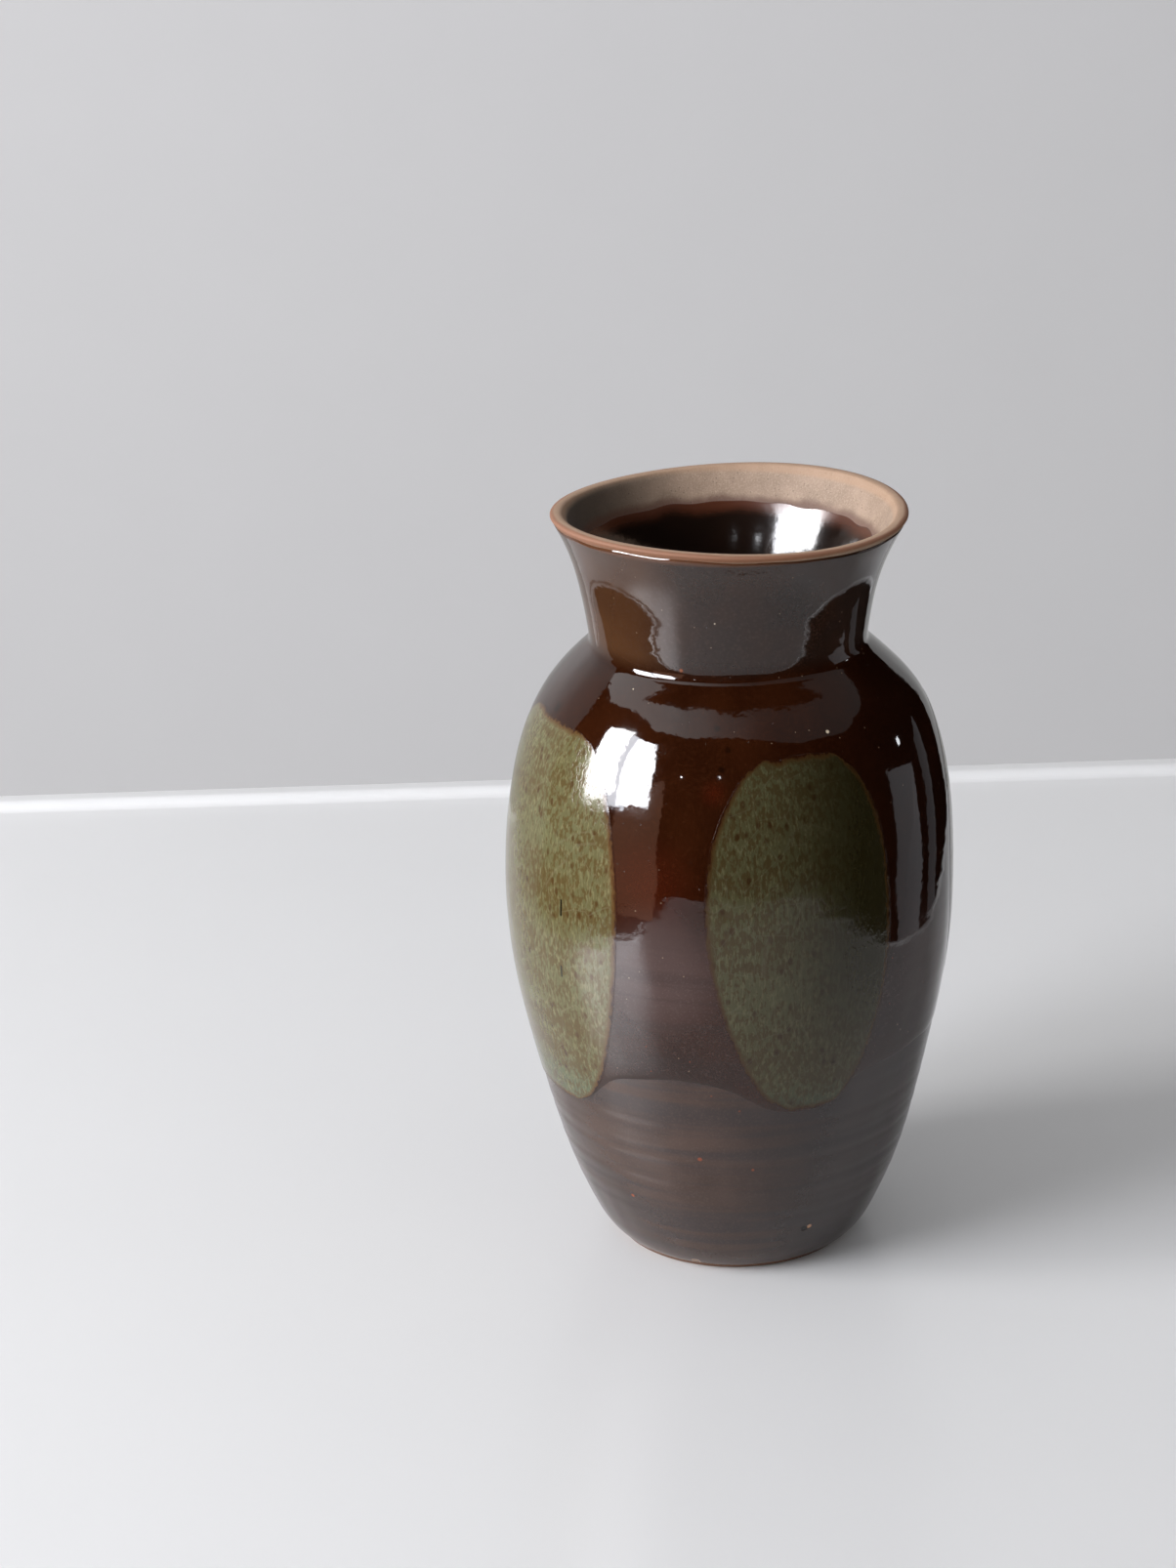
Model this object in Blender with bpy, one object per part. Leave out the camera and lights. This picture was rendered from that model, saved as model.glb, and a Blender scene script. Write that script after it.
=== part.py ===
"""A wheel-thrown stoneware vase: one clay body under separate coats of glaze.

Run it with: blender --background --python part.py

The frame is in metres, +Z up, with its origin at the centre of the foot, on the
surface that the vase stands on. Angles round the pot are in degrees from -Y, the
front, towards +X. The dimensions below are in millimetres, and MM turns them into
metres. Each coat of glaze is a sheet on the clay's surface, lifted clear of what is
under it and then thickened.
"""

import math

import bmesh
import bpy

MM = 0.001

# --- Driving dimensions ------------------------------------------------------

HEIGHT = 254.0
CREASE_HEIGHT = 210.5  # where the shoulder ends and the neck begins
CREASE_RADIUS = 44.6
FOOT_RADIUS = 38.4
FOOT_BEVEL = 1.0
FOOT_RING_INNER_RADIUS = 29.0
FOOT_RECESS = 1.6  # how far the trimmed underside is hollowed inside its ring
FLOOR_THICKNESS = 8.5
FLOOR_RADIUS = 33.0
FLOOR_RISE = 0.8  # from the middle of the floor to where it meets the wall
LIP_ROUND = 1.6

# (height, radius) of the clay's outer face: the body up to the crease, then the neck
BODY_CURVE = (
    (0.0, FOOT_RADIUS),
    (4.0, 42.4),
    (12.5, 47.8),
    (26.5, 53.8),
    (46.5, 60.2),
    (72.0, 66.6),
    (97.0, 71.4),
    (121.0, 73.3),
    (144.0, 72.9),
    (165.0, 70.4),
    (182.0, 66.0),
    (195.0, 59.2),
    (204.0, 51.4),
    (CREASE_HEIGHT, CREASE_RADIUS),
)
NECK_CURVE = (
    (CREASE_HEIGHT, CREASE_RADIUS),
    (217.0, 44.7),
    (223.0, 45.5),
    (231.0, 47.6),
    (241.0, 51.2),
    (249.0, 55.2),
    (HEIGHT, 57.6),
)
# (height, radius) of its inner face: the wall is about 5.5 mm thick, and the lip 4 mm
INSIDE_CURVE = (
    (FLOOR_THICKNESS, 30.0),
    (14.0, 41.4),
    (26.5, 47.4),
    (46.5, 54.2),
    (72.0, 61.0),
    (97.0, 66.0),
    (121.0, 68.0),
    (144.0, 67.5),
    (165.0, 64.8),
    (182.0, 60.0),
    (195.0, 52.2),
    (204.0, 44.8),
    (CREASE_HEIGHT, 40.2),
    (217.0, 39.6),
    (223.0, 40.4),
    (231.0, 42.8),
    (241.0, 46.8),
    (249.0, 50.9),
    (HEIGHT, 53.6),
)

# Facets: the clay and every coat share these columns and rings, so that they nest
COLUMNS = 36
RING_HEIGHTS = (5.0, 14.0, 28.0, 46.0, 68.0, 90.0, 112.0, 134.0, 154.0, 170.0, 183.0,
                194.0, 204.0, CREASE_HEIGHT, 220.0, 232.0, 244.0)
RING_SPACING = 2.0  # a ring nearer than this to a sheet's edge is left out of the sheet
SHARP_ANGLE = 40.0

GAP = 0.35  # between a coat and what it covers, so that faceted neighbours don't touch
COAT_THICKNESS = 0.4
FIRST_COAT_FOOT_HEIGHT = 2.2  # below this the clay was wiped bare
FIRST_COAT_LIP_HEIGHT = 251.0
SECOND_COAT_LAP_HEIGHT = 80.5
SECOND_COAT_NECK_HEIGHT = 248.5
LINER_EDGE_HEIGHT = 243.5
LINER_EDGE_WAVE = 0.9
LAP_MARGIN = 2.0  # how far the second coat shows below a panel
LAP_DIP_WIDTH = 0.58  # the half width of a dip in the lap, as a share of its panel's
LAP_DIP_POWER = 2.5

# Green panels: name, centre angle, half width in degrees, lowest and highest point, and
# the outline's two exponents. A greater peak lifts the widest place, and a smaller
# bluntness makes the ends broader.
PANELS = (
    ("green_panel_front", 18.5, 25.0, 68.5, 191.0, 1.45, 0.30),
    ("green_panel_left", -66.0, 37.5, 61.5, 193.0, 1.23, 0.24),
    ("green_panel_right", 107.0, 29.0, 66.0, 190.0, 1.35, 0.28),
    ("green_panel_back", 198.0, 32.0, 64.0, 192.0, 1.30, 0.27),
)
PANEL_COLUMNS = 12
PANEL_END_SHARES = (0.0, 0.015, 0.05, 0.1)  # extra rows near each end, as shares of its height
PANEL_TIP_WIDTH = 0.12  # of its half width, where the panel ends


# --- Curves ------------------------------------------------------------------


def smooth_curve(points):
    """Gives a function from height to radius: a smooth curve through the points."""
    heights = [height for height, _ in points]
    radii = [radius for _, radius in points]
    last = len(points) - 1
    slopes = []
    for i in range(last + 1):
        low = max(i - 1, 0)
        high = min(i + 1, last)
        slopes.append((radii[high] - radii[low]) / (heights[high] - heights[low]))

    def radius_at(height):
        height = min(max(height, heights[0]), heights[last])
        i = max(k for k in range(last) if heights[k] <= height)
        span = heights[i + 1] - heights[i]
        t = (height - heights[i]) / span
        return (
            (2 * t**3 - 3 * t**2 + 1) * radii[i]
            + (t**3 - 2 * t**2 + t) * span * slopes[i]
            + (3 * t**2 - 2 * t**3) * radii[i + 1]
            + (t**3 - t**2) * span * slopes[i + 1]
        )

    return radius_at


body_radius = smooth_curve(BODY_CURVE)
neck_radius = smooth_curve(NECK_CURVE)
inside_radius = smooth_curve(INSIDE_CURVE)


def outside_radius(height):
    return body_radius(height) if height < CREASE_HEIGHT else neck_radius(height)


def rings_between(low, high):
    """The shared ring heights that lie clearly between two heights."""
    return [z for z in RING_HEIGHTS if low + RING_SPACING < z < high - RING_SPACING]


def angle_between(first, second):
    """The angle from the second to the first, from -180 to 180 degrees."""
    return (first - second + 180.0) % 360.0 - 180.0


def lap_height(angle):
    """How low the second coat reaches at this angle: it dips under each green panel."""
    height = SECOND_COAT_LAP_HEIGHT
    for _, centre, half_width, low, _, _, _ in PANELS:
        dip = SECOND_COAT_LAP_HEIGHT - low + LAP_MARGIN
        away = abs(angle_between(angle, centre)) / (LAP_DIP_WIDTH * half_width)
        height -= dip * math.exp(-(away**LAP_DIP_POWER))
    return height


def liner_edge_height(angle):
    """The liner's upper edge, which wanders a little round the mouth."""
    turn = math.radians(angle)
    wave = 0.6 * math.sin(2 * turn + 0.6) + 0.4 * math.sin(5 * turn)
    return LINER_EDGE_HEIGHT + LINER_EDGE_WAVE * wave


def panel_width_share(share, peak, bluntness):
    """A panel's width at this share of its height, as a share of its greatest width."""
    width = max(math.sin(math.pi * share**peak), 0.0) ** bluntness
    return max(width, PANEL_TIP_WIDTH)


# --- Outlines and sheets -----------------------------------------------------


def clay_outline():
    """The clay's half section: from the floor's middle over the lip to below the foot."""
    lip_low = HEIGHT - LIP_ROUND
    inner_rings = rings_between(FLOOR_THICKNESS, lip_low)
    inside = [(0.0, FLOOR_THICKNESS), (FLOOR_RADIUS, FLOOR_THICKNESS + FLOOR_RISE)]
    inside += [(inside_radius(z), z) for z in inner_rings]
    inside.append((inside_radius(lip_low), lip_low))
    inside.append((inside_radius(HEIGHT) + LIP_ROUND / 2, HEIGHT))
    outside = [(outside_radius(HEIGHT) - LIP_ROUND, HEIGHT), (outside_radius(lip_low), lip_low)]
    outside += [(outside_radius(z), z) for z in reversed(RING_HEIGHTS)]
    foot = [
        (outside_radius(FOOT_BEVEL), FOOT_BEVEL),
        (FOOT_RADIUS - FOOT_BEVEL, 0.0),
        (FOOT_RING_INNER_RADIUS, 0.0),
        (FOOT_RING_INNER_RADIUS - FOOT_RECESS, FOOT_RECESS),
        (0.0, FOOT_RECESS),
    ]
    return inside + outside + foot


def point_at(angle, radius, height):
    """A point in metres, from an angle in degrees and millimetres out from the axis and up."""
    turn = math.radians(angle)
    return (radius * math.sin(turn) * MM, -radius * math.cos(turn) * MM, height * MM)


def round_angles():
    return [k * 360.0 / COLUMNS for k in range(COLUMNS)]


def first_coat_columns():
    rings = rings_between(FIRST_COAT_FOOT_HEIGHT, FIRST_COAT_LIP_HEIGHT)
    heights = [FIRST_COAT_FOOT_HEIGHT, *rings, FIRST_COAT_LIP_HEIGHT]
    return [[point_at(a, outside_radius(z), z) for z in heights] for a in round_angles()]


def second_coat_columns():
    rings = rings_between(SECOND_COAT_LAP_HEIGHT, SECOND_COAT_NECK_HEIGHT)
    columns = []
    for angle in round_angles():
        lap = lap_height(angle)
        heights = [lap, (lap + rings[0]) / 2, *rings, SECOND_COAT_NECK_HEIGHT]
        columns.append([point_at(angle, outside_radius(z), z) for z in heights])
    return columns


def liner_columns():
    """From the floor's corner up to the liner's edge. The floor itself is added later."""
    rings = rings_between(FLOOR_THICKNESS, LINER_EDGE_HEIGHT - LINER_EDGE_WAVE)
    columns = []
    for angle in round_angles():
        edge = liner_edge_height(angle)
        column = [point_at(angle, FLOOR_RADIUS, FLOOR_THICKNESS + FLOOR_RISE)]
        column += [point_at(angle, inside_radius(z), z) for z in rings]
        column.append(point_at(angle, inside_radius(edge), edge))
        columns.append(column)
    return columns


def panel_columns(centre, half_width, low, high, peak, bluntness):
    tall = high - low
    ends = [low + share * tall for share in PANEL_END_SHARES]
    tops = [high - share * tall for share in reversed(PANEL_END_SHARES)]
    heights = ends + rings_between(ends[-1], tops[0]) + tops
    columns = []
    for k in range(PANEL_COLUMNS + 1):
        across = 2.0 * k / PANEL_COLUMNS - 1.0
        column = []
        for z in heights:
            width = half_width * panel_width_share((z - low) / tall, peak, bluntness)
            column.append(point_at(centre + across * width, outside_radius(z), z))
        columns.append(column)
    return columns


# --- Objects -----------------------------------------------------------------


def plain_material(name, colour, roughness):
    material = bpy.data.materials.new(name)
    material.use_nodes = True
    shader = material.node_tree.nodes["Principled BSDF"]
    shader.inputs["Base Color"].default_value = (*colour, 1.0)
    shader.inputs["Roughness"].default_value = roughness
    shader.inputs["Metallic"].default_value = 0.0
    return material


def add_object(name, shape, material, parent):
    """Makes an object from a bmesh, smooth except at its sharp edges."""
    mesh = bpy.data.meshes.new(name)
    shape.to_mesh(mesh)
    shape.free()
    mesh.materials.append(material)
    mesh.shade_smooth()
    mesh.set_sharp_from_angle(angle=math.radians(SHARP_ANGLE))
    obj = bpy.data.objects.new(name, mesh)
    obj.parent = parent
    bpy.context.scene.collection.objects.link(obj)
    return obj


def add_turned(name, outline, material, parent):
    """Turns a half section, listed down its outer side, round the Z axis."""
    shape = bmesh.new()
    points = [shape.verts.new((radius * MM, 0.0, height * MM)) for radius, height in outline]
    for near, far in zip(points, points[1:]):
        shape.edges.new((near, far))
    obj = add_object(name, shape, material, parent)
    screw = obj.modifiers.new("turn", "SCREW")
    screw.steps = COLUMNS
    screw.render_steps = COLUMNS
    screw.use_merge_vertices = True
    screw.merge_threshold = 0.01 * MM
    screw.use_smooth_shade = True
    return obj


def outward_sheet(columns, closed):
    """Quads through columns of points listed upwards, facing away from the axis."""
    shape = bmesh.new()
    grid = [[shape.verts.new(point) for point in column] for column in columns]
    neighbours = zip(grid, grid[1:] + grid[:1]) if closed else zip(grid, grid[1:])
    for near, far in neighbours:
        for i in range(len(near) - 1):
            shape.faces.new((near[i], far[i], far[i + 1], near[i + 1]))
    return shape


def liner_sheet():
    """The clay's inner face as a cup of quads with a fan for its floor, facing the axis."""
    shape = outward_sheet(liner_columns(), closed=True)
    shape.verts.ensure_lookup_table()
    corner_step = len(shape.verts) // COLUMNS
    corners = [shape.verts[k * corner_step] for k in range(COLUMNS)]
    middle = shape.verts.new((0.0, 0.0, FLOOR_THICKNESS * MM))
    for near, far in zip(corners, corners[1:] + corners[:1]):
        shape.faces.new((middle, far, near))
    bmesh.ops.reverse_faces(shape, faces=shape.faces)
    return shape


def add_coat(name, shape, coats_below, material, parent):
    """A coat of glaze: a sheet lifted off the clay and the coats below it, then thickened."""
    obj = add_object(name, shape, material, parent)
    lift = obj.modifiers.new("lift", "DISPLACE")
    lift.mid_level = 0.0
    lift.strength = (GAP + coats_below * (GAP + COAT_THICKNESS)) * MM
    thicken = obj.modifiers.new("thicken", "SOLIDIFY")
    thicken.thickness = COAT_THICKNESS * MM
    thicken.offset = 1.0
    return obj


def clear_scene():
    for obj in list(bpy.data.objects):
        bpy.data.objects.remove(obj)


def build():
    clear_scene()
    pot = bpy.data.objects.new("vase", None)
    bpy.context.scene.collection.objects.link(pot)

    clay = plain_material("buff_stoneware", (0.42, 0.33, 0.24), 0.85)
    grey_brown = plain_material("grey_brown_glaze", (0.075, 0.050, 0.042), 0.12)
    dark_brown = plain_material("dark_brown_glaze", (0.050, 0.018, 0.010), 0.08)
    green = plain_material("mottled_green_glaze", (0.16, 0.17, 0.07), 0.12)
    black_brown = plain_material("black_brown_glaze", (0.010, 0.006, 0.005), 0.06)

    add_turned("clay_body", clay_outline(), clay, pot)
    first_coat = outward_sheet(first_coat_columns(), closed=True)
    add_coat("first_coat_glaze", first_coat, 0, grey_brown, pot)
    second_coat = outward_sheet(second_coat_columns(), closed=True)
    add_coat("second_coat_glaze", second_coat, 1, dark_brown, pot)
    add_coat("liner_glaze", liner_sheet(), 0, black_brown, pot)
    for name, *measures in PANELS:
        panel = outward_sheet(panel_columns(*measures), closed=False)
        add_coat(name, panel, 2, green, pot)


build()
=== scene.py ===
"""Looks for a wheel-thrown stoneware vase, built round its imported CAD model.

Every glaze coat is a thin closed shell over the thrown clay, with its real wavy edge.
Angles round the pot are in degrees from -Y, the front, towards +X. Heights and radii
are in millimetres, and MM turns them into metres.
"""

import math

import bpy
import numpy as np
from mathutils import Matrix, Vector


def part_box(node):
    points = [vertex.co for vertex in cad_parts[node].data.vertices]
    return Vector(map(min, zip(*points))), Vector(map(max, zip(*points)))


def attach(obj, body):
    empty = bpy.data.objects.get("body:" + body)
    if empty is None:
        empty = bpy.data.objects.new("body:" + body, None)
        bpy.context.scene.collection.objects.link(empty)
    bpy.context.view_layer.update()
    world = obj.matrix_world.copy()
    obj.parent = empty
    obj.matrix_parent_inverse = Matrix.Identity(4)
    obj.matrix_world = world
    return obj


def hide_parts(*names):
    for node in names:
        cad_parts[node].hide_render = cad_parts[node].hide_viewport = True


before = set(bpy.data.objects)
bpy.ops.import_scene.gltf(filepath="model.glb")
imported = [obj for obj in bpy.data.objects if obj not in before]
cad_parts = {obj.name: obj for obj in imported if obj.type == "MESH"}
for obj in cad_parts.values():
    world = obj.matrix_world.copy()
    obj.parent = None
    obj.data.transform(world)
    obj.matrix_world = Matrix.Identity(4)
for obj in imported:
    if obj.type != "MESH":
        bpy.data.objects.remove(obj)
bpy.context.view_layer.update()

MM = 0.001
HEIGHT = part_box("clay_body")[1].z / MM

# --- The pot's shape -----------------------------------------------------------

# (height, radius) of the glazed outside: the body, and the neck above the crease
BODY_KNOTS = (
    (0.0, 39.9),
    (4.2, 44.0),
    (12.7, 49.2),
    (26.5, 55.1),
    (46.6, 61.2),
    (72.0, 67.4),
    (97.4, 72.3),
    (120.7, 74.4),
    (144.0, 74.0),
    (165.2, 71.5),
    (182.1, 67.0),
    (194.8, 60.4),
    (199.5, 56.5),
    (203.3, 52.8),
    (207.5, 48.3),
    (211.8, 43.2),
)
NECK_KNOTS = (
    (205.0, 44.8),
    (211.8, 45.2),
    (216.8, 45.9),
    (222.3, 46.8),
    (230.8, 48.6),
    (241.3, 52.0),
    (248.9, 55.6),
    (254.0, 58.5),
)
CREASE_ROWS = (201.0, 219.0)  # where the rows of points are close together
CREASE_SOFTNESS = 1.5
# The neck is drawn in a little at the front and back, below its flare
NECK_WAIST_DEPTH = 1.0
NECK_WAIST = (223.0, 241.0, 256.0)
# (radius, height) along the clay's inner face, from the middle of the floor to the lip
INSIDE_KNOTS = (
    (0.0, 8.5),
    (20.0, 8.6),
    (32.0, 9.8),
    (39.0, 13.2),
    (43.6, 18.8),
    (47.6, 27.0),
    (54.2, 46.5),
    (61.0, 72.0),
    (66.0, 97.0),
    (68.0, 121.0),
    (67.5, 144.0),
    (64.8, 165.0),
    (60.0, 182.0),
    (52.2, 195.0),
    (44.8, 204.0),
    (40.9, 210.5),
    (39.8, 217.0),
    (40.5, 223.0),
    (42.9, 231.0),
    (46.9, 241.0),
    (50.9, 249.0),
    (52.6, 252.0),
)
FLOOR_RADIUS = 36.0  # the inner face is floor within this radius, and wall beyond it
LIP_HALF_WIDTH = 2.1
LIP_ROUND = 1.1
LIP_SQUARENESS = 0.8
FOOT_BEVEL = 1.0
FOOT_RING_INNER_RADIUS = 29.0
FOOT_RECESS = 1.6

# Depths below the glazed outside, and how thick each coat is where it is full
CLAY_DEPTH = 0.70
FIRST_COAT = {"depth": 0.65, "thickness": 0.50, "edge": 0.8}
SECOND_COAT = {"depth": 0.11, "thickness": 0.26, "edge": 1.3}
PANEL_COAT = {"depth": -0.18, "thickness": 0.11, "edge": 2.4}
LINER_THICKNESS = 0.45
THINNEST = 0.03

FOOT_LINE_HEIGHT = 1.7
FIRST_COAT_TOP = 253.1
SECOND_COAT_TOP = 251.6
LINER_TOP = 242.7
LAP_HEIGHT = 80.6

# What hand throwing adds: a bow of the axis, a warp of the rim, and shallow rings
AXIS_BOW = 0.65
AXIS_BOW_PERIOD = 230.0
NECK_SHIFT = 0.45
RIM_WARP = -1.05
FRONT_RISE = 0.8
RING_PITCHES = (7.3, 4.6, 2.9)
RING_DEPTHS = (0.030, 0.020, 0.011)

# Each panel's colour is scaled lighter or darker as painted light and shade, and the front panel
# has painted shade on its right side.
PANELS = (
    {"name": "green_panel_front", "centre": 18.5, "half_width": 25.0, "low": 69.6, "high": 190.6,
     "peak": (1.45, 1.15), "bluntness": (0.30, 0.22), "painted_light_level": 0.48, "shade": 0.9,
     "dip_width": 0.62, "dip_power": 2.6, "dip_drop": 1.3},
    {"name": "green_panel_left", "centre": -66.0, "half_width": 37.5, "low": 62.4, "high": 192.6,
     "peak": (1.20, 1.15), "bluntness": (0.24, 0.20), "painted_light_level": 1.0,
     "ticks": ((-46.4, 133.6, 138.8), (-46.9, 112.0, 115.8)),
     "dip_width": 0.78, "dip_power": 4.0, "dip_drop": 0.9},
    {"name": "green_panel_right", "centre": 107.0, "half_width": 29.0, "low": 67.0, "high": 189.6,
     "peak": (1.35, 1.30), "bluntness": (0.28, 0.25), "painted_light_level": 0.75,
     "dip_width": 0.66, "dip_power": 3.0, "dip_drop": 1.3},
    {"name": "green_panel_back", "centre": 198.0, "half_width": 32.0, "low": 65.0, "high": 191.6,
     "peak": (1.20, 1.30), "bluntness": (0.25, 0.27), "painted_light_level": 0.85,
     "dip_width": 0.70, "dip_power": 3.2, "dip_drop": 1.2},
)

COLUMNS = 288
CUP_COLUMNS = 240
PANEL_COLUMNS = 80
PANEL_ROWS = 150


def natural_spline(xs, ys):
    """A function through the points whose slope and curvature are continuous.

    Beyond the ends it goes on in a straight line.
    """
    xs = np.asarray(xs, float)
    ys = np.asarray(ys, float)
    gaps = np.diff(xs)
    rises = np.diff(ys) / gaps
    count = len(xs)
    matrix = np.eye(count)
    right = np.zeros(count)
    for i in range(1, count - 1):
        matrix[i, i - 1 : i + 2] = gaps[i - 1], 2 * (gaps[i - 1] + gaps[i]), gaps[i]
        right[i] = 6 * (rises[i] - rises[i - 1])
    bends = np.linalg.solve(matrix, right)
    first_slope = rises[0] - gaps[0] * bends[1] / 6
    last_slope = rises[-1] + gaps[-1] * bends[-2] / 6

    def value(x):
        x = np.asarray(x, float)
        inside = np.clip(x, xs[0], xs[-1])
        i = np.clip(np.searchsorted(xs, inside) - 1, 0, count - 2)
        before = inside - xs[i]
        after = xs[i + 1] - inside
        gap = gaps[i]
        y = (
            (bends[i] * after**3 + bends[i + 1] * before**3) / (6 * gap)
            + (ys[i] / gap - bends[i] * gap / 6) * after
            + (ys[i + 1] / gap - bends[i + 1] * gap / 6) * before
        )
        return y + first_slope * np.minimum(x - xs[0], 0) + last_slope * np.maximum(x - xs[-1], 0)

    return value


def smooth_step(low, high, x):
    """0 at low and 1 at high, smooth between them; low may be the higher."""
    t = np.clip((x - low) / (high - low), 0.0, 1.0)
    return t * t * (3 - 2 * t)


def neck_flat(angle, height):
    """How far the neck is drawn in at the front and back, and not at its sides."""
    low, middle, high = NECK_WAIST
    bell = smooth_step(low, middle, height) * smooth_step(high, middle, height)
    return -NECK_WAIST_DEPTH * bell * np.cos(np.radians(angle)) ** 2


body_radius = natural_spline(*zip(*BODY_KNOTS))
neck_radius = natural_spline(*zip(*NECK_KNOTS))


def skin_radius(height):
    """The glazed outside: the greater of body and neck, with the crease filled by glaze."""
    body = body_radius(height)
    neck = neck_radius(height)
    return 0.5 * (body + neck + np.sqrt((body - neck) ** 2 + CREASE_SOFTNESS**2))


def random_waves(seed, count, turns, rises, size):
    """Smooth noise that closes round the pot: a sum of waves in angle and height."""
    random = np.random.default_rng(seed)
    waves = []
    for _ in range(count):
        waves.append((random.integers(0, turns), random.uniform(-rises, rises),
                      random.uniform(0, math.tau), size * random.uniform(0.4, 1.0)))

    def value(angle, height):
        turn = np.radians(angle)
        total = 0.0
        for around, up, phase, part in waves:
            total = total + part * np.sin(around * turn + up * height + phase)
        return total / math.sqrt(count)

    return value


broad_waves = random_waves(3, 14, 9, 0.16, 0.16)
fine_waves = random_waves(8, 22, 40, 0.30, 0.045)
edge_waves = random_waves(21, 10, 24, 0.02, 1.0)
tip_waves = random_waves(34, 10, 60, 0.05, 1.0)


def throwing_rings(angle, height):
    """The potter's finger marks: shallow spiral rings, deepest low on the body."""
    turn = np.radians(angle)
    total = 0.0
    for k, (pitch, depth) in enumerate(zip(RING_PITCHES, RING_DEPTHS)):
        drift = 1.5 * np.sin(height / (17.0 + 6 * k) + k)
        total = total + depth * np.sin(math.tau * height / pitch + turn + drift)
    strength = 0.3 + 1.3 * smooth_step(78, 50, height) * smooth_step(18, 34, height)
    return strength * total


def relief(angle, height):
    """How far the thrown wall stands out of its even curve, fading out at foot and lip."""
    fade = smooth_step(1.0, 14.0, height) * (1 - 0.6 * smooth_step(200.0, 212.0, height))
    return neck_flat(angle, height) + fade * (
        broad_waves(angle, height) + fine_waves(angle, height) + throwing_rings(angle, height))


def placed(angle, radius, height):
    """Points in metres, with the bow of the pot's axis and the warp of its rim."""
    turn = np.radians(angle)
    bow = AXIS_BOW * np.cos(math.tau * height / AXIS_BOW_PERIOD)
    bow = bow * smooth_step(205, 188, height) * smooth_step(-2, 3, height)
    bow = bow - NECK_SHIFT * smooth_step(190, 210, height) * smooth_step(250, 225, height)
    warp = RIM_WARP * np.sin(2 * turn) + FRONT_RISE * np.maximum(np.cos(turn), 0) ** 2
    lift = smooth_step(222, HEIGHT, height) ** 1.5 * warp
    x = radius * np.sin(turn) + bow
    y = -radius * np.cos(turn)
    z = height + lift
    x, y, z = np.broadcast_arrays(x, y, z)
    return np.stack([x, y, z], axis=-1) * MM


def angle_between(first, second):
    """From the second angle to the first by the shorter way round, from -180 to 180."""
    return (first - second + 180.0) % 360.0 - 180.0


def lap_height(angle):
    """How low the second coat reaches at each angle: it dips under each green panel."""
    height = LAP_HEIGHT + 0.9 * edge_waves(angle, 0.0) + 1.2 * np.sin(np.radians(angle) + 2.4)
    for panel in PANELS:
        dip = LAP_HEIGHT - panel["low"] + panel["dip_drop"]
        away = np.abs(angle_between(angle, panel["centre"]))
        away = away / (panel["dip_width"] * panel["half_width"])
        height = height - dip * np.exp(-(away ** panel["dip_power"]))
    return height


def liner_edge(angle):
    """The liner's upper edge, which wanders a little round the mouth."""
    turn = np.radians(angle)
    return LINER_TOP + 0.54 * np.sin(2 * turn + 0.6) + 0.5 * edge_waves(angle, 40.0)


# --- Meshes --------------------------------------------------------------------


def grid_faces(rows, columns, wrap, first=0, flip=False):
    """Quads over a grid of points in row order, with angle along the columns."""
    row = np.arange(rows - 1)[:, None] * columns
    column = np.arange(columns if wrap else columns - 1)[None, :]
    after = (column + 1) % columns
    corners = [row + column, row + after, row + columns + after, row + columns + column]
    faces = np.stack([c.ravel() for c in corners], axis=1) + first
    return faces[:, ::-1] if flip else faces


def strip_faces(near, far):
    """Quads between two lines of points, given as indices."""
    return np.stack([near[:-1], near[1:], far[1:], far[:-1]], axis=1)


def add_piece(name, points, faces, distance, node, material):
    """Makes a smooth piece that rides on the pot and stands for one CAD node.

    A glaze coat's points carry their distance from its edge, for its material.
    """
    mesh = bpy.data.meshes.new(name)
    mesh.from_pydata(points.reshape(-1, 3).tolist(), [], faces)
    if distance is not None:
        attribute = mesh.attributes.new("edge_distance", "FLOAT", "POINT")
        attribute.data.foreach_set("value", np.asarray(distance, np.float32).ravel())
    mesh.shade_smooth()
    mesh.materials.append(material)
    piece = bpy.data.objects.new(name, mesh)
    bpy.context.scene.collection.objects.link(piece)
    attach(piece, "root")
    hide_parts(node)
    return piece


def shell(name, outer, inner, wrap, distance, node, material):
    """A thin closed shell between two grids of points, each (rows, columns, 3)."""
    rows, columns = outer.shape[:2]
    count = rows * columns
    index = np.arange(count).reshape(rows, columns)
    closed = np.concatenate([index, index[:, :1]], axis=1) if wrap else index
    parts = [grid_faces(rows, columns, wrap),
             grid_faces(rows, columns, wrap, first=count, flip=True),
             strip_faces(closed[0] + count, closed[0]),
             strip_faces(closed[-1], closed[-1] + count)]
    if not wrap:
        parts.append(strip_faces(index[:, 0], index[:, 0] + count))
        parts.append(strip_faces(index[:, -1] + count, index[:, -1]))
    distance = np.concatenate([distance, distance])
    points = np.concatenate([outer, inner])
    add_piece(name, points, np.concatenate(parts).tolist(), distance, node, material)


def cup(name, path, start, end, distance, node, material):
    """A closed cup: rings of points from its floor's middle over its edge and back under."""
    rows, columns = path.shape[:2]
    faces = grid_faces(rows, columns, wrap=True, flip=True).tolist()
    last = (rows - 1) * columns
    for k in range(columns):
        after = (k + 1) % columns
        faces.append((rows * columns, k, after))
        faces.append((last + k, rows * columns + 1, last + after))
    points = np.concatenate([path.reshape(-1, 3), np.array([start, end]) * MM])
    if distance is not None:
        distance = np.append(distance, [distance[0, 0], distance[-1, 0]])
    add_piece(name, points, faces, distance, node, material)


def taper(distance, coat):
    """A coat's thickness at this distance inside its edge: it thins to a rounded rim."""
    full = coat["thickness"] - THINNEST
    return THINNEST + full * (1 - np.exp(-np.maximum(distance, 0) / coat["edge"]))


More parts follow.
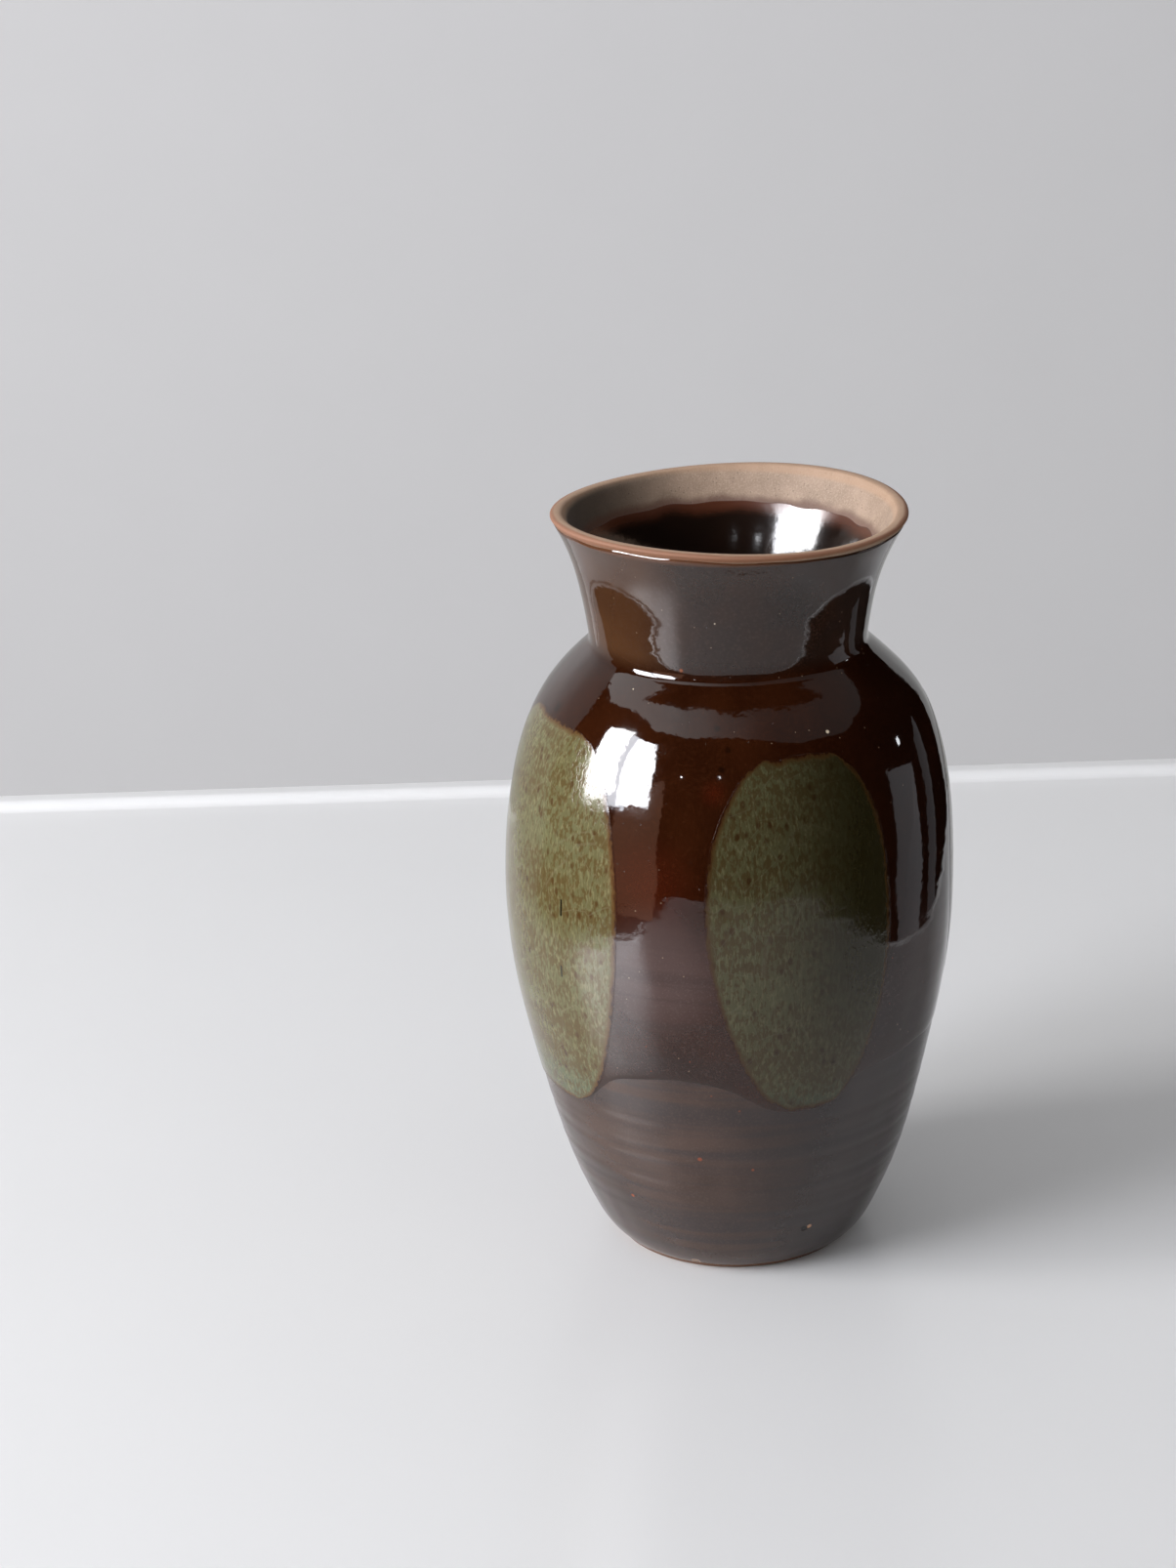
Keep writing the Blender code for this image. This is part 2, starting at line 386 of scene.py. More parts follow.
def graded(count, ends):
    """Numbers from 0 to 1, closer together near the ends by that share."""
    t = np.linspace(0, 1, count)
    return (1 - ends) * t + ends * 0.5 * (1 - np.cos(math.pi * t))


def coat_shell(name, angles, heights, distance, coat, wrap, material):
    """A coat that follows the pot's outside and thins towards its edges."""
    base = skin_radius(heights) + relief(angles, heights) - coat["depth"]
    inner = placed(angles, base, heights)
    outer = placed(angles, base + taper(distance, coat), heights)
    shell(name + "_surface", outer, inner, wrap, distance, name, material)


def round_angles(columns):
    return np.arange(columns) * 360.0 / columns


def build_first_coat(material):
    """From the foot to the rim, with close rows at its edges, in view and at the crease."""
    visible = np.arange(FOOT_LINE_HEIGHT + 3.0, LAP_HEIGHT + 6.0, 1.0)
    edge = FOOT_LINE_HEIGHT + np.array([0.0, 0.15, 0.35, 0.6, 0.95, 1.4, 2.1])
    low, high = CREASE_ROWS
    hidden = np.concatenate([np.linspace(LAP_HEIGHT + 8.0, low - 1.0, 20),
                             np.linspace(low, high, 30),
                             np.linspace(high + 2.0, SECOND_COAT_TOP - 4.0, 9)])
    rim = SECOND_COAT_TOP - 2.5 + graded(9, 0.5) * (FIRST_COAT_TOP - SECOND_COAT_TOP + 2.5)
    rows = np.concatenate([edge, visible, hidden, rim])[:, None]
    angles = round_angles(COLUMNS)[None, :]
    foot_edge = 0.25 * edge_waves(angles, 10.0) * smooth_step(12.0, 2.0, rows)
    rim_edge = 0.3 * edge_waves(angles, 20.0) * smooth_step(246.0, FIRST_COAT_TOP, rows)
    heights = rows + foot_edge + rim_edge
    distance = np.minimum(rows - rows[0], rows[-1] - rows) + 0 * angles
    coat_shell("first_coat_glaze", angles + 0 * rows, heights, distance, FIRST_COAT, True,
               material)


def build_second_coat(material):
    """From its wavy lap line to the rim, with close rows at the lap and at the crease."""
    angles = round_angles(COLUMNS)[None, :]
    low = lap_height(angles)
    near = np.array([0.0, 0.2, 0.45, 0.8, 1.2, 1.8, 2.6, 3.6])
    top = SECOND_COAT_TOP + 0.35 * edge_waves(angles, 60.0)
    stops = (low + near[-1], *CREASE_ROWS, top)
    heights = low + near[:, None]
    for first, last, rows in zip(stops[:-1], stops[1:], (96, 34, 26)):
        share = np.linspace(0, 1, rows + 1)[1:, None]
        part = first + share * (last - first) + 0 * angles
        heights = np.concatenate([heights, part])
    distance = np.minimum(heights - low, top - heights)
    coat_shell("second_coat_glaze", angles + 0 * heights, heights, distance, SECOND_COAT, True,
               material)


def build_panel(panel, material):
    """A green panel: rows up its height, each as wide as its blunt oval outline."""
    up = graded(PANEL_ROWS, 0.85)[:, None]
    across = np.sin(0.5 * math.pi * np.linspace(-1, 1, PANEL_COLUMNS))[None, :]
    tall = panel["high"] - panel["low"]
    sides = [np.sin(math.pi * up**peak).clip(0.0) ** bluntness
             for peak, bluntness in zip(panel["peak"], panel["bluntness"])]
    oval = np.where(across < 0, sides[0], sides[1])
    width = panel["half_width"] * np.maximum(oval, 0.02)
    centre = panel["centre"]
    heights = panel["low"] + up * tall
    ragged = 1.0 * edge_waves(centre + 40 * np.sign(across), heights)
    angles = centre + across * (width + 0.5 * ragged * np.abs(across))
    drop = 1.2 * tip_waves(angles, 0.0) * (smooth_step(0.75, 1.0, up) - smooth_step(0.25, 0.0, up))
    heights = heights + 0.6 * drop
    reach = width * np.radians(1.0) * skin_radius(heights)
    distance = np.minimum((1 - np.abs(across)) * reach, np.minimum(up, 1 - up) * tall)
    coat_shell(panel["name"], angles, heights, distance, PANEL_COAT, False,
               material)


def inside_path():
    """Radii and heights along the clay's inner face, evenly spaced, from (0, floor) to the lip."""
    radii, heights = (np.array(values) for values in zip(*INSIDE_KNOTS))
    along = np.concatenate([[0], np.cumsum(np.hypot(np.diff(radii), np.diff(heights)))])
    return natural_spline(along, radii), natural_spline(along, heights), along[-1]


def inside_relief(angle, height):
    """Finger grooves spiralling up the inside, shallow near the mouth."""
    turn = np.radians(angle)
    depth = 0.22 * smooth_step(235, 190, height) * smooth_step(9, 14, height)
    return depth * np.sin(math.tau * height / 7.0 - turn) + 0.4 * broad_waves(angle, height)


def clay_inside(angles):
    """Radii and heights from the middle of the floor up to the lip."""
    radius_along, height_along, length = inside_path()
    steps = np.concatenate([np.linspace(0.02, 0.86, 60), np.linspace(0.862, 1.0, 50)]) * length
    radii = radius_along(steps)[:, None]
    heights = height_along(steps)[:, None]
    return radii + inside_relief(angles, heights) * (radii > FLOOR_RADIUS), heights


def clay_lip():
    """The blunt lip, from its inner side over to its outer side."""
    base = HEIGHT - LIP_ROUND
    turn = np.linspace(0, math.pi, 15)[1:-1, None]
    middle = skin_radius(base) - LIP_HALF_WIDTH
    lean = np.cos(turn)
    radii = middle - LIP_HALF_WIDTH * np.sign(lean) * np.abs(lean) ** LIP_SQUARENESS
    return radii, base + LIP_ROUND * np.sin(turn) ** LIP_SQUARENESS


def clay_outside(angles):
    """Down the outside, just under the glaze, with rows packed close at the crease."""
    base = HEIGHT - LIP_ROUND
    low, high = CREASE_ROWS
    heights = np.concatenate([np.linspace(base, 244, 14), np.linspace(240, high + 2, 5),
                              np.linspace(high, low, 30), np.linspace(low - 2, 20, 28),
                              np.linspace(16, FOOT_BEVEL, 18)])[:, None]
    depth = CLAY_DEPTH * (1 - smooth_step(248.5, base, heights))
    return skin_radius(heights) + relief(angles, heights) - depth, heights


def clay_foot():
    """Round the foot's bevel, across the foot ring and into the recess."""
    edge = skin_radius(FOOT_BEVEL) - CLAY_DEPTH
    path = np.array([
        (edge - 0.3, 0.4),
        (edge - FOOT_BEVEL, 0.0),
        (36.0, 0.0),
        (33.0, 0.0),
        (30.0, 0.0),
        (FOOT_RING_INNER_RADIUS, 0.1),
        (FOOT_RING_INNER_RADIUS - 1.0, 0.9),
        (FOOT_RING_INNER_RADIUS - 2.2, FOOT_RECESS),
        (20.0, FOOT_RECESS + 0.1),
        (10.0, FOOT_RECESS),
        (2.0, FOOT_RECESS),
    ])
    return path[:, :1], path[:, 1:]


def build_clay(material):
    """The thrown pot: its inside, lip, outside and foot as one closed skin."""
    angles = round_angles(CUP_COLUMNS)[None, :]
    stretches = (clay_inside(angles), clay_lip(), clay_outside(angles), clay_foot())
    path = np.concatenate([placed(angles, radii, heights) for radii, heights in stretches])
    cup("thrown_clay_body", path, (0, 0, INSIDE_KNOTS[0][1]), (0, 0, FOOT_RECESS),
        None, "clay_body", material)


def build_liner(material):
    """The inner glaze: up the inside of the wall to its wavy edge, and back down behind it."""
    radius_along, height_along, length = inside_path()
    angles = round_angles(CUP_COLUMNS)[None, :]
    along = np.linspace(0, length, 900)
    edge_along = np.interp(liner_edge(angles), height_along(along), along)
    share = np.concatenate([np.linspace(0.02, 0.84, 60), 1 - 0.16 * (1 - graded(40, 0.9))])
    share = np.unique(np.round(share, 5))[:, None]
    steps = share * edge_along
    radii = radius_along(steps)
    heights = height_along(steps)
    wall = smooth_step(34, 40, radii)
    out_of_edge = (1 - share) * edge_along
    thickness = THINNEST + LINER_THICKNESS * (1 - np.exp(-out_of_edge / 5.0))
    grooved = radii + inside_relief(angles, heights) * (radii > FLOOR_RADIUS)
    near = placed(angles, grooved - 0.05 - thickness * wall, heights + thickness * (1 - wall))
    behind = placed(angles, grooved - 0.03, heights + 0.02 * (1 - wall))
    path = np.concatenate([near, behind[::-1]])
    distance = np.concatenate([out_of_edge, out_of_edge[::-1]])
    floor = INSIDE_KNOTS[0][1]
    cup("liner_glaze_surface", path, (0, 0, floor + LINER_THICKNESS + THINNEST),
        (0, 0, floor + 0.02), distance, "liner_glaze", material)


# --- Materials -----------------------------------------------------------------


# Places on the pot, as (angle, height, radius in mm), unless a note says otherwise
RED_BLOTCHES = ((-4.5, 180.6, 6.0), (-20.0, 150.0, 22.0))
# Greyer patches low between the panels: a painted reflection of the table in the brown coat
TABLE_SHEEN_PATCHES = ((-18.0, 121.0, 0.75), (62.0, 112.0, 0.30), (148.0, 118.0, 0.75), (-112.0, 120.0, 0.75))
TABLE_SHEEN_RADIUS = 27.0  # painted reflection of the table; the last number of each patch is its strength
DARK_DRIPS = ((-67.0, 194.6, 3.0), (-4.0, 198.6, 1.7), (-0.8, 193.0, 1.5), (-2.6, 187.6, 1.6),
              (-74.0, 190.5, 2.0))
CREAM_SPECKS = ((30.5, 195.4, 0.75), (-37.0, 206.0, 0.35), (-5.0, 230.0, 0.4))
CREASE_SPECK = (-19.0, 213.2, 0.9)
RUST_SPECKS = ((-37.0, 29.6, 0.9), (-10.0, 51.0, 1.0), (6.0, 47.0, 0.6))
PIT = (26.6, 18.0, 1.5)
PIT_RIM = (28.6, 18.4, 1.2)
FOOT_CHIP = (-18.0, 3.0, 2.2)
RUST = (0.19, 0.045, 0.017)
BLACK_BROWN = (0.006, 0.0020, 0.0008)
TICK_COLOUR = (0.010, 0.008, 0.004)


class Shader:
    """A Principled material, with short calls for the nodes that colour it."""

    def __init__(self, name, roughness, **sockets):
        self.material = bpy.data.materials.new(name)
        self.material.use_nodes = True
        self.tree = self.material.node_tree
        self.surface = self.tree.nodes["Principled BSDF"]
        self.surface.inputs["Roughness"].default_value = roughness
        for socket, value in sockets.items():
            self.surface.inputs[socket].default_value = value
        coordinates = self.tree.nodes.new("ShaderNodeTexCoord").outputs["Object"]
        self.point = self.node("ShaderNodeVectorMath", {0: coordinates, 3: 1 / MM},
                               operation="SCALE").outputs[0]

    def node(self, kind, inputs, **settings):
        made = self.tree.nodes.new(kind)
        for setting, value in settings.items():
            setattr(made, setting, value)
        for key, value in inputs.items():
            if isinstance(value, bpy.types.NodeSocket):
                self.tree.links.new(value, made.inputs[key])
            else:
                made.inputs[key].default_value = value
        return made

    def math(self, operation, *values):
        inputs = dict(enumerate(values))
        return self.node("ShaderNodeMath", inputs, operation=operation).outputs[0]

    def step(self, value, low, high):
        """0 below low and 1 above high, smooth between them; low may be the higher."""
        inputs = {"Value": value, "From Min": low, "From Max": high}
        return self.node("ShaderNodeMapRange", inputs,
                         interpolation_type="SMOOTHSTEP").outputs["Result"]

    def ramp(self, value, from_low, from_high, to_low, to_high):
        """A straight change from one range of numbers to another."""
        inputs = {"Value": value, "From Min": from_low, "From Max": from_high,
                  "To Min": to_low, "To Max": to_high}
        return self.node("ShaderNodeMapRange", inputs).outputs["Result"]

    def mix(self, factor, first, second):
        """Colours as (r, g, b) or sockets."""
        colours = [c if isinstance(c, bpy.types.NodeSocket) else (*c, 1.0) for c in (first, second)]
        inputs = {"Factor": factor, "A": colours[0], "B": colours[1]}
        made = self.tree.nodes.new("ShaderNodeMix")
        made.data_type = "RGBA"
        for key, value in inputs.items():
            socket = next(s for s in made.inputs if s.name == key and s.enabled)
            if isinstance(value, bpy.types.NodeSocket):
                self.tree.links.new(value, socket)
            else:
                socket.default_value = value
        return next(s for s in made.outputs if s.enabled)

    def lay(self, colour, over, where, share=1.0):
        """A colour with another over it: all of it where both where and share are 1."""
        if share != 1.0:
            where = self.math("MULTIPLY", where, share)
        return self.mix(where, colour, over)

    def stretched(self, stretch):
        return self.node("ShaderNodeVectorMath", {0: self.point, 1: stretch},
                         operation="MULTIPLY").outputs[0]

    def noise(self, size, detail=2.0, roughness=0.5, stretch=(1, 1, 1), distortion=0.0):
        """Noise whose features are about this many millimetres across."""
        inputs = {"Vector": self.stretched(stretch), "Scale": 1 / size, "Detail": detail,
                  "Roughness": roughness, "Distortion": distortion}
        return self.node("ShaderNodeTexNoise", inputs).outputs["Fac"]

    def dots(self, spacing, size, keep, stretch=(1, 1, 1)):
        """Round dots of this radius, one in each cell; keep is the share of cells with one."""
        inputs = {"Vector": self.stretched(stretch), "Scale": 1 / spacing}
        cells = self.node("ShaderNodeTexVoronoi", inputs)
        dot = self.step(cells.outputs["Distance"], size / spacing, 0.45 * size / spacing)
        chance = self.node("ShaderNodeSeparateColor", {"Color": cells.outputs["Color"]})
        kept = self.math("LESS_THAN", chance.outputs["Red"], keep)
        return self.math("MULTIPLY", dot, kept)

    def spot(self, angle, height, radius, softness=0.5):
        """1 within a radius of one place on the outside of the pot, in millimetres."""
        place = placed(angle, float(skin_radius(height)), height) / MM
        away = self.node("ShaderNodeVectorMath", {0: self.point, 1: Vector(place)},
                         operation="DISTANCE").outputs["Value"]
        return self.step(away, radius, radius * (1 - softness))

    def across(self):
        return self.node("ShaderNodeSeparateXYZ", {0: self.point}).outputs["X"]

    def radius(self):
        flat = self.stretched((1, 1, 0))
        return self.node("ShaderNodeVectorMath", {0: flat}, operation="LENGTH").outputs["Value"]

    def height(self):
        return self.node("ShaderNodeSeparateXYZ", {0: self.point}).outputs["Z"]

    def edge_distance(self):
        return self.node("ShaderNodeAttribute", {}, attribute_name="edge_distance").outputs["Fac"]

    def ragged_edge(self, noise, depth):
        """The distance from the piece's edge, made uneven by this depth of noise."""
        uneven = self.math("MULTIPLY", self.math("SUBTRACT", noise, 0.5), depth)
        return self.math("ADD", self.edge_distance(), uneven)

    def finish(self, colour, roughness=None, bumps=()):
        """Links the colour, an uneven roughness, and bumps as (height, millimetres) pairs."""
        links = self.tree.links
        links.new(colour, self.surface.inputs["Base Color"])
        if roughness is not None:
            links.new(roughness, self.surface.inputs["Roughness"])
        normal = None
        for height, depth in bumps:
            bump = self.node("ShaderNodeBump", {"Height": height, "Strength": 1.0,
                                                "Distance": depth * MM})
            if normal is not None:
                links.new(normal, bump.inputs["Normal"])
            normal = bump.outputs["Normal"]
        if normal is not None:
            links.new(normal, self.surface.inputs["Normal"])
        return self.material


def brown_body(shader, cloudy, fine):
    """Chocolate brown, redder in two blotches, darker on the right as painted shade, and greyer low
    down between the panels as a painted reflection of the table.
    """
    colour = shader.mix(shader.step(cloudy, 0.35, 0.68), (0.015, 0.0036, 0.0011),
                        (0.024, 0.0060, 0.0018))
    colour = shader.lay(colour, (0.050, 0.016, 0.006), shader.step(fine, 0.45, 0.8), 0.35)
    # painted shade: the brown is darker on the right, away from the window
    right = shader.step(shader.across(), 26.0, 58.0)
    colour = shader.lay(colour, (0.008, 0.0032, 0.0020), right, 0.6)
    for angle, height, radius in RED_BLOTCHES:
        red = shader.spot(angle, height, radius, 1.0)
        colour = shader.lay(colour, (0.065, 0.0085, 0.003), red, 0.35)
    # painted reflection of the table: greyer patches low between the panels
    for angle, height, strength in TABLE_SHEEN_PATCHES:
        table_sheen = shader.spot(angle, height, TABLE_SHEEN_RADIUS, 0.75)
        colour = shader.lay(colour, (0.066, 0.036, 0.031), table_sheen, strength)
    return colour


def brown_neck(shader, cloudy, fine):
    """On the neck the coat is thin, and lighter and yellower on the left as painted light from the
    window side.
    """
    # painted light: the neck coat is lighter and yellower on the left, towards the window
    right = shader.step(shader.across(), -34.0, -12.0)
    thin_coat_lit_left = shader.mix(right, (0.064, 0.027, 0.011), (0.021, 0.012, 0.009))
    thin_coat_lit_left = shader.lay(thin_coat_lit_left, (0.036, 0.014, 0.006), shader.step(cloudy, 0.40, 0.62), 0.5)
    return shader.lay(thin_coat_lit_left, (0.058, 0.034, 0.026), shader.step(fine, 0.45, 0.8), 0.45)


def speckled(shader, colour):
    """Fine dust and rusty specks low on the brown coat, and pale pinholes all over it."""
    low = shader.step(shader.height(), 140.0, 115.0)
    bands = shader.noise(5.5, detail=2.0, stretch=(0.04, 0.04, 1.0))
    banded = shader.math("MULTIPLY", shader.step(bands, 0.45, 0.62), low)
    colour = shader.lay(colour, (0.020, 0.0090, 0.0065), banded, 0.45)
    dust = shader.step(shader.noise(0.7, detail=2.0, roughness=0.7), 0.50, 0.75)
    colour = shader.lay(colour, (0.120, 0.080, 0.070), shader.math("MULTIPLY", dust, low), 0.28)
    rusty = shader.math("MULTIPLY", shader.dots(4.6, 0.34, 0.35), low)
    colour = shader.lay(colour, (0.26, 0.055, 0.018), rusty, 0.6)
    return shader.lay(colour, (0.30, 0.22, 0.15), shader.dots(3.8, 0.30, 0.5), 0.55)


def brown_colour(shader):
    """The second coat's colour, which also shows through the panels' thin edges."""
    cloudy = shader.noise(26.0, detail=3.0)
    fine = shader.noise(1.1, detail=3.0, roughness=0.7)
    neck = shader.step(shader.height(), 209.0, 217.0)
    colour = shader.mix(neck, brown_body(shader, cloudy, fine), brown_neck(shader, cloudy, fine))
    for place in DARK_DRIPS:
        colour = shader.lay(colour, BLACK_BROWN, shader.spot(*place, 0.8), 0.75)
    return speckled(shader, colour)


def brown_material():
    """The second coat, thinner at its lap line and rusty at the rim, with a few pale specks."""
    shader = Shader("dark_brown_tenmoku", 0.07, IOR=1.49)
    edge = shader.step(shader.edge_distance(), 3.5, 0.2)
    colour = shader.lay(brown_colour(shader), (0.022, 0.009, 0.005), edge, 0.6)
    above = shader.step(shader.height(), 250.2, 251.8)
    colour = shader.lay(colour, (0.110, 0.045, 0.022), above, 0.7)
    for place in CREAM_SPECKS:
        colour = shader.lay(colour, (0.62, 0.52, 0.38), shader.spot(*place))
    colour = shader.lay(colour, (0.20, 0.055, 0.018), shader.spot(*CREASE_SPECK, 0.8))
    roughness = shader.ramp(shader.noise(9.0), 0.3, 0.7, 0.03, 0.065)
    bumps = ((shader.noise(2.4, detail=1.0), 0.020), (shader.dots(2.6, 0.20, 0.25), -0.06))
    return shader.finish(colour, roughness, bumps)


def with_painted_light(panel, *colour):
    """A colour made lighter or darker as painted light and shade for one panel."""
    return tuple(panel["painted_light_level"] * part for part in colour)


def green_ground(shader, panel):
    """Olive, cooler at the foot of the panel, under fine pale upright fibres."""
    broad = shader.noise(22.0, detail=2.0)
    fibres = shader.noise(0.75, detail=2.0, roughness=0.65, stretch=(1.0, 1.0, 0.24))
    colour = shader.mix(shader.step(broad, 0.3, 0.7), with_painted_light(panel, 0.098, 0.086, 0.036),
                        with_painted_light(panel, 0.107, 0.102, 0.047))
    foot = shader.step(shader.height(), 84.0, 68.0)
    colour = shader.lay(colour, with_painted_light(panel, 0.080, 0.092, 0.050), foot)
    pale = shader.step(fibres, 0.48, 0.68)
    return shader.lay(colour, with_painted_light(panel, 0.186, 0.166, 0.082), pale, 0.60)


def brown_streaks(shader, streaks, bands):
    """1 in the upright streaks, which gather in bands and in one belt low on the panel."""
    belt = shader.math("MULTIPLY", shader.step(shader.height(), 106.0, 92.0),
                       shader.step(shader.height(), 68.0, 77.0))
    level = shader.math("ADD", streaks, shader.math("MULTIPLY", bands, 0.40))
    level = shader.math("ADD", level, shader.math("MULTIPLY", belt, 0.05))
    return shader.step(level, 0.67, 0.77)


def crackle(shader):
    """1 in the fine cracks of the glaze."""
    inputs = {"Vector": shader.stretched((1.0, 1.0, 0.6)), "Scale": 1 / 9.0}
    cells = shader.node("ShaderNodeTexVoronoi", inputs, feature="DISTANCE_TO_EDGE")
    return shader.step(cells.outputs["Distance"], 0.020, 0.006)


def ticks_and_painted_shade(shader, panel, colour):
    """The dark ticks, and the painted shade on the right side that only some panels have."""
    for angle, low, high in panel.get("ticks", ()):
        for height in np.arange(low, high, 0.8):
            colour = shader.lay(colour, TICK_COLOUR, shader.spot(angle, height, 0.75))
    # painted shade: the panel is darker on its right side, away from the window
    if "shade" in panel:
        shadowed = shader.math("MULTIPLY", shader.step(shader.across(), 8.0, 44.0),
                               shader.step(shader.height(), 62.0, 128.0))
        colour = shader.lay(colour, (0.014, 0.011, 0.003), shadowed, panel["shade"])
    return colour


def green_material(panel):
    """Olive glaze with brown streaks and dots, browner towards its ragged edge, lighter or darker
    per panel as painted light and shade.
    """
    shader = Shader(panel["name"] + "_glaze", 0.12, IOR=1.44)
    streaks = shader.noise(1.15, detail=2.5, roughness=0.6, stretch=(1.0, 1.0, 0.42))
    bands = shader.noise(7.0, detail=2.0, stretch=(0.14, 0.14, 1.0))
    brown = brown_streaks(shader, streaks, bands)
    colour = green_ground(shader, panel)
    colour = shader.lay(colour, with_painted_light(panel, 0.074, 0.042, 0.012), brown, 0.70)
    dots = shader.math("MULTIPLY", shader.dots(3.5, 1.10, 0.75, stretch=(1.0, 1.0, 0.6)),
                       shader.step(bands, 0.32, 0.52))
    colour = shader.lay(colour, with_painted_light(panel, 0.056, 0.025, 0.007), dots, 0.85)
    colour = shader.lay(colour, with_painted_light(panel, 0.200, 0.185, 0.120), crackle(shader), 0.16)
    colour = ticks_and_painted_shade(shader, panel, colour)
    ragged = shader.ragged_edge(streaks, 3.0)
    colour = shader.lay(colour, with_painted_light(panel, 0.085, 0.042, 0.012), shader.step(ragged, 2.6, 0.9))
    colour = shader.mix(shader.step(ragged, 0.1, 1.4), brown_colour(shader), colour)
    bumps = ((shader.noise(2.4, detail=1.0), 0.020), (brown, -0.015))
    return shader.finish(colour, None, bumps)


def grey_colour(shader, grain):
    """Grey-brown in faint rings, darker on the right as painted shade, under a fine pale grain."""
    cloudy = shader.noise(16.0, detail=3.0)
    rings = shader.noise(4.4, detail=2.0, stretch=(0.04, 0.04, 1.0))
    colour = shader.mix(shader.step(cloudy, 0.3, 0.7), (0.043, 0.0230, 0.0160),
                        (0.060, 0.0335, 0.0240))
    colour = shader.lay(colour, (0.024, 0.019, 0.020), shader.step(rings, 0.42, 0.62), 0.60)
    colour = shader.lay(colour, (0.095, 0.060, 0.044), shader.step(grain, 0.45, 0.8), 0.4)
    # painted shade: the grey is darker on the right, away from the window
    right = shader.step(shader.across(), -15.0, 35.0)
    return shader.lay(colour, (0.020, 0.014, 0.013), right, 0.75)


def grey_material():
    """The first coat, rusty at the rim and in a few specks, with one pit and a chipped foot."""
    shader = Shader("grey_brown_glaze", 0.17, IOR=1.49)
    grain = shader.noise(0.8, detail=3.0, roughness=0.7)
    hole = shader.spot(*PIT)
    colour = shader.lay(grey_colour(shader, grain), RUST, shader.dots(7.5, 0.50, 0.36), 0.65)
    for place in RUST_SPECKS:
        colour = shader.lay(colour, RUST, shader.spot(*place))
    colour = shader.lay(colour, (0.34, 0.18, 0.10), shader.spot(*PIT_RIM))
    colour = shader.lay(colour, (0.006, 0.004, 0.003), hole)
    colour = shader.lay(colour, (0.36, 0.22, 0.13), shader.spot(*FOOT_CHIP), 0.7)
    breaks = shader.mix(shader.step(grain, 0.35, 0.7), (0.150, 0.030, 0.006),
                        (0.24, 0.060, 0.014))
    colour = shader.lay(colour, breaks, shader.step(shader.height(), 250.6, 252.4))
    foot = shader.step(shader.edge_distance(), 1.6, 0.3)
    colour = shader.lay(colour, (0.17, 0.080, 0.038), foot, 0.5)
    roughness = shader.ramp(grain, 0.3, 0.7, 0.14, 0.24)
    bumps = ((grain, 0.012), (shader.noise(3.0), 0.03), (hole, -0.5))
    return shader.finish(colour, roughness, bumps)


def liner_material():
    """Near black, thinning to rust along its edge."""
    shader = Shader("black_brown_liner", 0.13, IOR=1.54)
    cloudy = shader.noise(12.0, detail=2.0)
    rust = shader.step(shader.ragged_edge(cloudy, 4.0), 5.5, 0.8)
    colour = shader.mix(cloudy, (0.006, 0.0035, 0.0025), (0.014, 0.0065, 0.0040))
    colour = shader.lay(colour, (0.070, 0.018, 0.006), rust)
    roughness = shader.ramp(rust, 0.0, 1.0, 0.13, 0.25)
    return shader.finish(colour, roughness, ((shader.noise(3.0), 0.05),))


def clay_ground(shader, broad, grain):
    """Buff, with pale and dark grains."""
    colour = shader.mix(shader.step(broad, 0.3, 0.7), (0.225, 0.150, 0.098),
                        (0.30, 0.205, 0.140))
    colour = shader.lay(colour, (0.43, 0.32, 0.23), shader.step(grain, 0.42, 0.75), 0.45)
    return shader.lay(colour, (0.13, 0.085, 0.055), shader.dots(1.4, 0.32, 0.45), 0.75)


def clay_lip_colour(shader, colour, broad):
    """The lip, toasted on top, rusty along its outer edge, and darkened by painted shade at its
    left end and on the inside wall below it.
    """
    top = shader.step(shader.height(), HEIGHT - 2.6, HEIGHT - 0.9)
    colour = shader.lay(colour, (0.36, 0.215, 0.125), top, 0.6)
    rim = shader.math("ADD", shader.radius(), shader.math("MULTIPLY", broad, 1.2))
    outer = shader.math("MULTIPLY", shader.step(rim, 56.6, 57.8), top)
    colour = shader.lay(colour, (0.19, 0.060, 0.019), outer, 0.8)
    # painted shade on the clay at the left of the lip and on the inside wall below it
    painted_shade_left = shader.math("MULTIPLY", shader.step(shader.across(), -8.0, -50.0),
                        shader.step(shader.height(), HEIGHT - 1.0, HEIGHT - 3.0))
    return shader.lay(colour, (0.048, 0.032, 0.020), painted_shade_left, 0.92)


def clay_material():
    """Bare buff stoneware: matte and gritty, warmer at the foot and stained above the liner."""
    shader = Shader("bare_buff_stoneware", 0.8, IOR=1.45)
    broad = shader.noise(9.0, detail=3.0)
    grain = shader.noise(0.55, detail=2.0, roughness=0.7)
    colour = clay_lip_colour(shader, clay_ground(shader, broad, grain), broad)
    foot = shader.step(shader.height(), 3.0, 1.0)
    colour = shader.lay(colour, (0.34, 0.19, 0.10), foot, 0.5)
    ragged = shader.math("ADD", shader.height(), shader.math("MULTIPLY", broad, 3.0))
    stained = shader.step(ragged, LINER_TOP + 5.0, LINER_TOP + 2.0)
    colour = shader.lay(colour, (0.095, 0.036, 0.018), stained, 0.8)
    bumps = ((grain, 0.10), (shader.dots(1.9, 0.3, 0.5), -0.12))
    return shader.finish(colour, None, bumps)


def plain_material(name, colour, roughness):
    """A stage material: one colour with a very faint unevenness."""
    shader = Shader(name, roughness)
    paler = tuple(min(1.0, c * 1.03) for c in colour)
    return shader.finish(shader.mix(shader.noise(90.0, detail=4.0), colour, paler))


# --- Stage, light and camera -----------------------------------------------------

